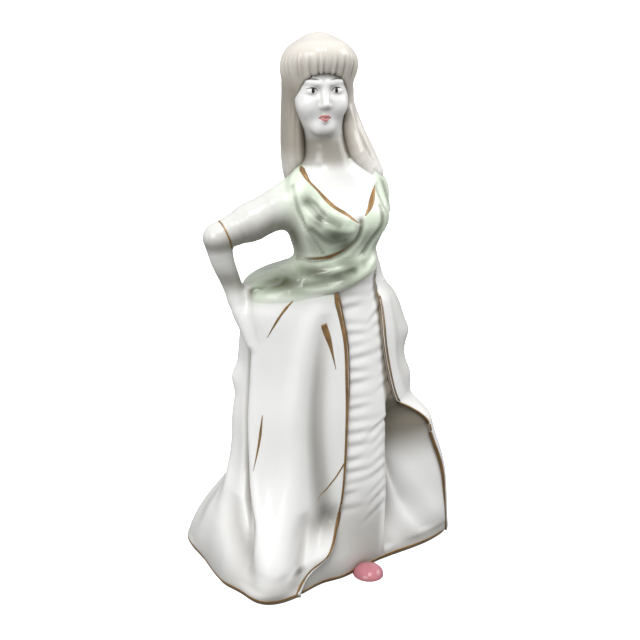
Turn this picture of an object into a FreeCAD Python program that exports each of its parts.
"""Porcelain figurine of a lady in a long gown, one hand on her hip.

Slip-cast pieces luted together: a closing plate, a front panel, an open-fronted overskirt, a hip
sash, a bodice, two arms, a head, two hair pieces and a shoe, with fired gilding and face enamel.
Millimetres, +Z up. The figure faces -Y, her right hand is on the -X side, and the origin is the
centre of the footprint on the shelf. Angles about the upright axis are in degrees, 0 at the
front (-Y) and positive towards +X.
"""
import FreeCAD, Part  # noqa: E401
import math
import os

V = FreeCAD.Vector

# ---- driving dimensions ----
HEIGHT = 200.0            # shelf to the crown of the hair
AXIS_X, AXIS_Y = -7.40, -8.32   # upright axis of the figure, from the centre of the footprint
PLATE = 2.0               # closing plate's thickness, and the height of the hem
WALL = 2.2                # slip-cast wall
FIT = 0.1                 # gap left for slip between luted pieces
SKIRT_TOP = 110.0         # top of both skirt castings, under the sash
SASH_FOOT = 106.0         # lower edge of the hip sash
WAIST_Z = 122.0
WAIST_X, WAIST_Y = 4.0, -4.0  # waist centre, from the upright axis
VENT_R = 3.5              # firing vent in the closing plate
VENT_X, VENT_Y = -2.0, 26.0
GILT_R = 0.35             # half thickness of a gilded line
PANEL_LEFT_LAP = 14.0     # degrees of front panel hidden behind the overskirt's left edge
PANEL_RIGHT = 44.0        # degrees, where the front panel turns into the flared lining
PANEL_SINK = 1.3          # front panel stands this far behind the overskirt's face
LINING_DEPTH = 6.0        # hollow of the flared lining, deepest at mid height

# Overskirt body: height, then radius to her right (-X), left (+X), front and back
SKIRT = [
    (2, 44, 50, 20, 44), (18, 42, 48.5, 20.5, 41), (31, 37, 46, 21, 36), (44, 33, 43, 21, 32.5),
    (64, 31, 39.5, 20.5, 30.5), (78, 29.5, 37, 19.5, 28.5), (92, 29.5, 36.5, 18.5, 28),
    (103, 30, 32, 17.5, 29), (110, 28, 25.5, 17, 27),
]
# Hip sash, about an axis that moves from the upright axis to the waist centre
SASH = [
    (106, 30.2, 29.4, 17.9, 29.2), (110, 29.2, 27, 17.7, 28), (113, 26, 24, 17.2, 25),
    (116, 21.5, 21, 16.2, 19.5), (118.5, 18, 18, 14.4, 15), (122, 16.6, 16.6, 13, 12),
]
# Bodice, chest and shoulders, about the waist centre
BODICE = [
    (116, 15, 15, 11.6, 10.6), (122, 15.4, 15.4, 11.8, 10.8), (128, 17.4, 17.4, 13.6, 11),
    (133, 19, 19, 15, 11.5), (138, 19.5, 20, 14.6, 11.5), (143, 19.5, 21.5, 12, 11.5),
    (147, 19.2, 20.2, 10.5, 11), (150, 18, 16.5, 9.6, 10.2), (153, 15.6, 12, 8.8, 9.4),
    (156, 11, 9.4, 8, 8.8), (159, 8.4, 8.4, 7.6, 8.6),
]
# Free edges of the overskirt: height, angle. The right one swings out as a flared corner.
LEFT_EDGE = [
    (2, -46), (8, -40), (12, -25), (20, -16), (34, -9), (60, -4), (88, -1), (102, -7), (112, -15),
]
RIGHT_EDGE = [
    (2, 80), (18, 78), (31, 76), (44, 73), (55, 70), (60, 66), (64, 61), (76, 57), (92, 54),
    (112, 60),
]
# Bulges of the train and of the front hem: angle, width, reach of the bulge, height where it has faded
TRAIN = [(-57, 17, 15, 24), (-143, 20, 12, 24), (-18, 28, 3, 16)]
CORNER_REACH, CORNER_FOOT, CORNER_TOP = 7.5, 51.0, 64.0
HEM_REACH, HEM_FOOT = 2.5, 24.0       # the corner reaches this much further below, down to this height
CORNER_FRONT_WIDTH, CORNER_BACK_WIDTH = 16.0, 30.0
BUST_ANGLE, BUST_Z, BUST_OUT, BUST_WIDTH, BUST_HEIGHT = 36.0, 135.0, 2.6, 26.0, 7.0

HEAD_C = V(-1.0, -1.0, 181.0)         # centre of the skull, from the upright axis
HEAD_SIZE = V(10.6, 12.0, 16.2)       # half width, half depth, half height
HEAD_TURN = -22.0                     # the face looks this far towards her right
TOE_C, TOE_SIZE, TOE_TURN = V(5.8, -24.6, 0), V(6.3, 6.6, 3.2), -14.0
TOE_ANGLE, TOE_SPREAD, TOE_LIFT = 13.0, 15.0, 1.3   # where and how far the hem's gold line rises over the toe
SHOULDER_R, ELBOW_R, WRIST_R = V(-15, 0.5, 139.5), V(-39.5, 6, 130.3), V(-30.6, 8.5, 109.5)
SHOULDER_L, ELBOW_L, WRIST_L = V(23.5, 0, 142), V(29, 14, 124), V(20, 24, 106)

WAISTBAND = [(-88, 123.6), (-66, 123.4), (-44, 123.5), (-24, 125), (-8, 128.5), (2, 133)]   # angle, height

HEIGHTS_SKIRT = [2, 8, 14, 20, 27, 35, 44, 50, 55, 59, 62, 65, 70, 78, 86, 94, 102, SKIRT_TOP]
ACROSS_OVERSKIRT, ACROSS_PANEL, AROUND_BODY = 56, 30, 40


# ---- shape functions ----
def smooth(low, high, x):
    """0 below low, 1 above high, eased between."""
    t = min(1.0, max(0.0, (x - low) / (high - low)))
    return t * t * (3 - 2 * t)


def along(rows, z, k):
    """Column k of rows at height z, on a smooth curve through them."""
    if z <= rows[0][0]:
        return rows[0][k]
    if z >= rows[-1][0]:
        return rows[-1][k]
    i = max(j for j in range(len(rows) - 1) if rows[j][0] <= z)
    step = rows[i + 1][0] - rows[i][0]
    t = (z - rows[i][0]) / step

    def slope(j):
        a, b = max(j - 1, 0), min(j + 1, len(rows) - 1)
        return (rows[b][k] - rows[a][k]) / (rows[b][0] - rows[a][0])

    start, end = rows[i][k], rows[i + 1][k]
    return ((2 * t**3 - 3 * t**2 + 1) * start + (t**3 - 2 * t**2 + t) * step * slope(i)
            + (3 * t**2 - 2 * t**3) * end + (t**3 - t**2) * step * slope(i + 1))


def turned(angle):
    """The same direction, from -180 to 180 degrees."""
    return (angle + 180) % 360 - 180


def quarters(rows, angle, z):
    """Radius of a section made of four quarter ellipses."""
    side, front = math.sin(math.radians(angle)), math.cos(math.radians(angle))
    a = along(rows, z, 2 if side > 0 else 1)
    b = along(rows, z, 3 if front > 0 else 4)
    return 1 / math.hypot(side / a, front / b)


def skirt_radius(angle, z):
    """Outer face of the overskirt."""
    r = quarters(SKIRT, angle, z)
    for at, width, out, fall in TRAIN:
        r += out * math.exp(-(turned(angle - at) / width) ** 2 - (z / fall) ** 2)
    d = turned(angle - along(RIGHT_EDGE, z, 1))
    width = CORNER_FRONT_WIDTH if d < 0 else CORNER_BACK_WIDTH
    reach = CORNER_REACH * smooth(CORNER_TOP, CORNER_FOOT, z) + HEM_REACH * smooth(CORNER_FOOT, HEM_FOOT, z)
    return r + reach * math.exp(-(d / width) ** 2)


def panel_radius(angle, z):
    """Outer face of the front panel and the flared lining: tucked behind the overskirt at both ends."""
    left, right = along(LEFT_EDGE, z, 1), along(RIGHT_EDGE, z, 1)
    tuck = WALL + FIT
    shown = smooth(left - 4, left + 3, angle) * smooth(right - 1, right - 9, angle)
    r = skirt_radius(angle, z) - tuck + (tuck - PANEL_SINK) * shown
    if right > PANEL_RIGHT:
        share = min(1.0, max(0.0, (angle - PANEL_RIGHT) / (right - PANEL_RIGHT)))
        depth = LINING_DEPTH * smooth(2, 30, z) * smooth(66, 52, z)
        r -= depth * math.sin(math.pi * share) ** 2
    return r


def sash_axis(z):
    t = smooth(SASH_FOOT + 4, WAIST_Z, z)
    return WAIST_X * t, WAIST_Y * t


def bodice_radius(angle, z):
    bust = sum(math.exp(-((angle - side * BUST_ANGLE) / BUST_WIDTH) ** 2) for side in (-1, 1))
    return quarters(BODICE, angle, z) + BUST_OUT * bust * math.exp(-((z - BUST_Z) / BUST_HEIGHT) ** 2)


def polar(radius, angle, z, cx=0.0, cy=0.0):
    a = math.radians(angle)
    return V(cx + radius * math.sin(a), cy - radius * math.cos(a), z)


# ---- solid builders ----
def closed_wire(points):
    curve = Part.BSplineCurve()
    curve.interpolate(Points=points, PeriodicFlag=True)
    return Part.Wire([curve.toShape()])


def loft(sections):
    return Part.makeLoft([closed_wire(s) for s in sections], True, False)


def section(radius, z, cx=0.0, cy=0.0, less=0.0, count=AROUND_BODY):
    """A closed section: radius(angle, z) less a wall, about (cx, cy)."""
    angles = [360.0 * i / count - 180 for i in range(count)]
    return [polar(radius(a, z) - less, a, z, cx, cy) for a in angles]


def surface_through(rows):
    surface = Part.BSplineSurface()
    surface.interpolate(rows)
    return surface


def sheet(outer, inner):
    """A closed wall between two grids of points of the same size."""
    faces = [surface_through(outer), surface_through(inner)]
    rims = []
    for side in ("uIso", "vIso"):
        for end in (0, 1):
            curves = []
            for face in faces:
                u0, u1, v0, v1 = face.bounds()
                at = (u0, u1)[end] if side == "uIso" else (v0, v1)[end]
                curves.append(getattr(face, side)(at).toShape())
            rims += Part.makeRuledSurface(curves[0], curves[1], 1).Faces
    shell = Part.makeShell([f.toShape() for f in faces] + rims)
    shell.sewShape()
    return Part.Solid(shell)


def ellipsoid(centre, half, turn=0.0):
    ball = Part.makeSphere(1.0)
    matrix = FreeCAD.Matrix()
    matrix.scale(half.x, half.y, half.z)
    matrix.rotateZ(math.radians(turn))
    matrix.move(centre)
    return ball.transformGeometry(matrix)


def limb(start, end, r_start, r_end):
    """A tapered limb with a round end at each joint."""
    way = end - start
    cone = Part.makeCone(r_start, r_end, way.Length, start, way)
    return cone.fuse([Part.makeSphere(r_start, start), Part.makeSphere(r_end, end)])


def bead(points, radius=GILT_R):
    """A thin round line of gilding or enamel along points."""
    curve = Part.BSplineCurve()
    curve.interpolate(points)
    edge = curve.toShape()
    start, way = curve.value(curve.FirstParameter), curve.tangent(curve.FirstParameter)[0]
    ring = Part.Wire([Part.makeCircle(radius, start, way)])
    return Part.Wire([edge]).makePipeShell([ring], True, True)


def minus(shape, *others):
    """Shape with each of the others cut away in turn."""
    for other in others:
        shape = shape.cut(other)
    return max(shape.Solids, key=lambda solid: solid.Volume)


# ---- pieces ----
def footprint(less=0.0, z=0.0):
    return closed_wire(section(skirt_radius, PLATE, less=less, count=64)).translated(V(0, 0, z - PLATE))


def closing_plate():
    """Flat plate luted into the foot of the skirt, with its firing vent."""
    plate = Part.Face(footprint()).extrude(V(0, 0, PLATE))
    return plate.cut(Part.makeCylinder(VENT_R, PLATE, V(VENT_X, VENT_Y, 0)))


def overskirt():
    """Open-fronted wall from the left free edge, round the back, to the flared right edge."""
    def grid(less):
        rows = []
        for z in HEIGHTS_SKIRT:
            left, right = along(LEFT_EDGE, z, 1), along(RIGHT_EDGE, z, 1) - 360
            angles = [left + (right - left) * i / ACROSS_OVERSKIRT for i in range(ACROSS_OVERSKIRT + 1)]
            rows.append([polar(skirt_radius(a, z) - less, a, z) for a in angles])
        return rows
    return sheet(grid(0), grid(WALL))


def front_panel():
    """Gathered front panel and the flared lining, one wall tucked behind the overskirt's edges."""
    def grid(less):
        rows = []
        for z in HEIGHTS_SKIRT:
            left, right = along(LEFT_EDGE, z, 1) - PANEL_LEFT_LAP, along(RIGHT_EDGE, z, 1)
            angles = [left + (right - left) * i / ACROSS_PANEL for i in range(ACROSS_PANEL + 1)]
            rows.append([polar(panel_radius(a, z) - less, a, z) for a in angles])
        return rows
    return sheet(grid(0), grid(WALL))


def hip_sash():
    """Ring of drapery that closes the top of the skirt and seats the bodice."""
    def stack(less, heights):
        return [section(lambda a, h: quarters(SASH, a, h), z, *sash_axis(z), less=less) for z in heights]
    heights = [SASH_FOOT, 108, 110, 112, 114, 116, 118.5, WAIST_Z]
    return loft(stack(0, heights)).cut(loft(stack(WALL, heights)))


def bodice():
    """Chest, shoulders and neck seat, hollow below."""
    heights = [row[0] for row in BODICE]
    skin = loft([section(bodice_radius, z, WAIST_X, WAIST_Y) for z in heights])
    hollow = loft([section(bodice_radius, z, WAIST_X, WAIST_Y, less=WALL + 0.6) for z in heights[:-5]])
    return skin.cut(hollow)


def neck(extra=0.0):
    """Neck with the plug that drops into the bodice."""
    foot = V(2.6, -2.4, 146)
    return Part.makeCone(7.2 + extra, 6.0 + extra, 24, foot, V(HEAD_C.x + 1 - foot.x, HEAD_C.y - foot.y, 24))


def ahead(out, up, side=0.0):
    """A point on the face: out in front of the skull's centre, up, and to her left."""
    a = math.radians(HEAD_TURN)
    return HEAD_C + V(out * math.sin(a) + side * math.cos(a), -out * math.cos(a) + side * math.sin(a), up)


def head():
    skull = ellipsoid(HEAD_C, HEAD_SIZE, HEAD_TURN)
    nose = limb(ahead(10.6, 0.5), ahead(12.0, -6.0), 0.9, 1.5)
    chin = Part.makeSphere(3.4, ahead(7.4, -12.2))
    return skull.fuse([nose, chin, neck()])


def hair_cap():
    """Crown of hair with the rolled fringe, open over the face."""
    cap = ellipsoid(HEAD_C + V(0.4, 1.0, 3.2), V(13.2, 14.0, HEIGHT - HEAD_C.z - 3.2), HEAD_TURN)
    fringe = ellipsoid(ahead(6.5, 10.5), V(11.8, 7.2, 4.6), HEAD_TURN)
    window = Part.makeBox(44, 30, 40, V(-22, -30, -40))
    window.rotate(V(0, 0, 0), V(0, 0, 1), HEAD_TURN)
    window.translate(ahead(4.0, 7.6))
    below = Part.makeBox(60, 60, 40, HEAD_C + V(-30, -30, -48))
    return minus(cap, window, below).fuse(fringe)


def hair_fall():
    """Long hair down the back and over her left shoulder."""
    rows = [
        (184, -1, 3, 12.4, 10.5), (174, -0.4, 5, 13.2, 9), (164, 1.5, 6.4, 15, 7.6),
        (156, 4.2, 7.5, 17.6, 6.6),
        (149, 5.6, 9, 18.4, 5.6), (140, 4.5, 10.5, 15.5, 4.6), (131, 3.5, 10.5, 11, 3.4), (125, 3, 10, 6, 2),
    ]
    return loft([
        [V(x + a * math.cos(t), y + b * math.sin(t), z) for t in [math.tau * i / 24 for i in range(24)]]
        for z, x, y, a, b in rows
    ])


def right_arm():
    """Sleeve, bare forearm and the hand on the hip."""
    sleeve = limb(SHOULDER_R, ELBOW_R, 7.6, 5.0)
    forearm = limb(ELBOW_R, WRIST_R, 4.3, 2.8)
    palm = ellipsoid(WRIST_R + V(0.2, 2.4, -4.6), V(2.2, 4.4, 5.4), 0)
    fingers = [limb(WRIST_R + V(0.8, 2.2 + 1.5 * i, -6.5), WRIST_R + V(3.4, 8.0 + 1.3 * i, -10 + 1.7 * i), 1.3, 1.0)
               for i in range(4)]
    thumb = limb(WRIST_R + V(0, -0.6, -3), WRIST_R + V(1.4, -3.4, -7.5), 1.3, 1.1)
    return sleeve.fuse([forearm, palm, thumb] + fingers)


def left_arm():
    """Arm drawn back behind her, holding the drapery at the back of the hip."""
    sleeve = limb(SHOULDER_L, ELBOW_L, 5.6, 4.6)
    forearm = limb(ELBOW_L, WRIST_L, 4.2, 2.8)
    palm = ellipsoid(WRIST_L + V(-1.6, 1.8, -3.6), V(4.0, 2.6, 4.6), 0)
    fingers = [limb(WRIST_L + V(-1.5 * i, 2.2, -5), WRIST_L + V(-3.2 - 1.5 * i, 2.6, -10), 1.2, 1.0)
               for i in range(4)]
    return sleeve.fuse([forearm, palm] + fingers)


def shoe():
    """Rounded toe of the shoe under the front hem."""
    toe = ellipsoid(TOE_C, TOE_SIZE, TOE_TURN)
    return toe.common(Part.makeBox(60, 60, 10, V(-30, -45, 0)))


def on_skirt(path, out=0.1, radius=skirt_radius):
    """Points on a skirt face along (angle, height) pairs."""
    return [polar(radius(a, z) + out, a, z) for a, z in path]


def on_bodice(path, out=0.1):
    return [polar(bodice_radius(a, z) + out, a, z, WAIST_X, WAIST_Y) for a, z in path]


def edge_line(rows, heights, inset):
    return bead(on_skirt([(along(rows, z, 1) + inset, z) for z in heights]))


def toe_lift(angle):
    """How far the front hem's gold line rises to clear the shoe."""
    return TOE_LIFT * math.exp(-((angle - TOE_ANGLE) / TOE_SPREAD) ** 2)


def gilding():
    """Fired gold lines, by name."""
    hem_left = [(-46 - 9 * i, PLATE + 0.4) for i in range(30)]
    hem_front = [(a, PLATE + 0.4 + toe_lift(a)) for a in range(-44, 80, 8)]
    strokes = [
        [(-56, 108), (-65, 103.5), (-75, 95)], [(-77, 65.5), (-78.5, 56), (-79, 45)],
        [(-28, 99), (-22, 92), (-16, 82.5)], [(-8, 46), (-22, 39), (-35, 32.5)],
    ]
    cuff_way = ELBOW_R - SHOULDER_R
    cuff_at = SHOULDER_R + cuff_way * 0.9
    return {
        "gilt_left_edge": edge_line(LEFT_EDGE, [3, 8, 12, 20, 34, 48, 62, 76, 90, 100, 104.5], -0.8),
        "gilt_right_edge": edge_line(RIGHT_EDGE, [4, 12, 24, 38, 50, 57, 61, 66, 78, 92, 104.5], 0.8),
        "gilt_overskirt_hem": bead(on_skirt(hem_left, 0.1)),
        "gilt_panel_hem": bead(on_skirt(hem_front, 0.1, panel_radius)),
        "gilt_fold_strokes": Part.makeCompound([bead(on_skirt(s)) for s in strokes]),
        "gilt_neckline": Part.makeCompound([
            bead(on_bodice([(-70, 151), (-48, 147.5), (-26, 142), (-8, 137), (2, 135)])),
            bead(on_bodice([(44, 147.5), (28, 143), (14, 138.5), (5, 134.5)])),
        ]),
        "gilt_waistband": bead(on_bodice(WAISTBAND)),
        "gilt_cuff": Part.makeTorus(5.3, GILT_R, cuff_at, cuff_way),
    }


def face_enamel():
    """Painted eyes, brows and lips, by name."""
    eyes = [ellipsoid(ahead(10.1, -0.6, side), V(1.0, 0.3, 0.8), HEAD_TURN) for side in (-3.9, 3.9)]
    brows = [
        bead([ahead(9.9, 2.4, side * 2.2), ahead(9.6, 3.3, side * 4.0), ahead(8.8, 2.8, side * 5.8)], 0.3)
        for side in (-1, 1)
    ]
    lips = ellipsoid(ahead(10.1, -9.2), V(2.1, 0.7, 0.8), HEAD_TURN)
    return {
        "painted_eyes": Part.makeCompound(eyes),
        "painted_brows": Part.makeCompound(brows),
        "painted_lips": lips,
    }


def main():
    toe, skirt, panel, sash, bust = shoe(), overskirt(), front_panel(), hip_sash(), bodice()
    face, cap, fall = head(), hair_cap(), hair_fall()
    arm_r, arm_l = right_arm(), left_arm()
    bust = minus(bust, neck(FIT))
    cap = cap.cut(face)
    fall = minus(fall, face, cap, bust)
    pieces = {
        "closing_plate": closing_plate().cut(toe),
        "front_panel": panel.cut(toe),
        "overskirt": skirt,
        "hip_sash": sash,
        "bodice": bust,
        "head": face,
        "hair_cap": cap,
        "hair_fall": fall,
        "right_arm": minus(arm_r, bust, sash, skirt),
        "left_arm": minus(arm_l, bust, sash, skirt, fall),
        "shoe": toe,
        **gilding(),
        **face_enamel(),
    }
    os.makedirs("parts", exist_ok=True)
    for name, shape in pieces.items():
        moved = shape.translated(V(AXIS_X, AXIS_Y, 0))
        solids = moved.Solids
        print(name, len(solids), round(moved.Volume, 1), moved.isValid())
        whole = solids[0] if len(solids) == 1 else Part.makeCompound(solids)
        whole.exportStep(f"parts/{name}.step")


main()
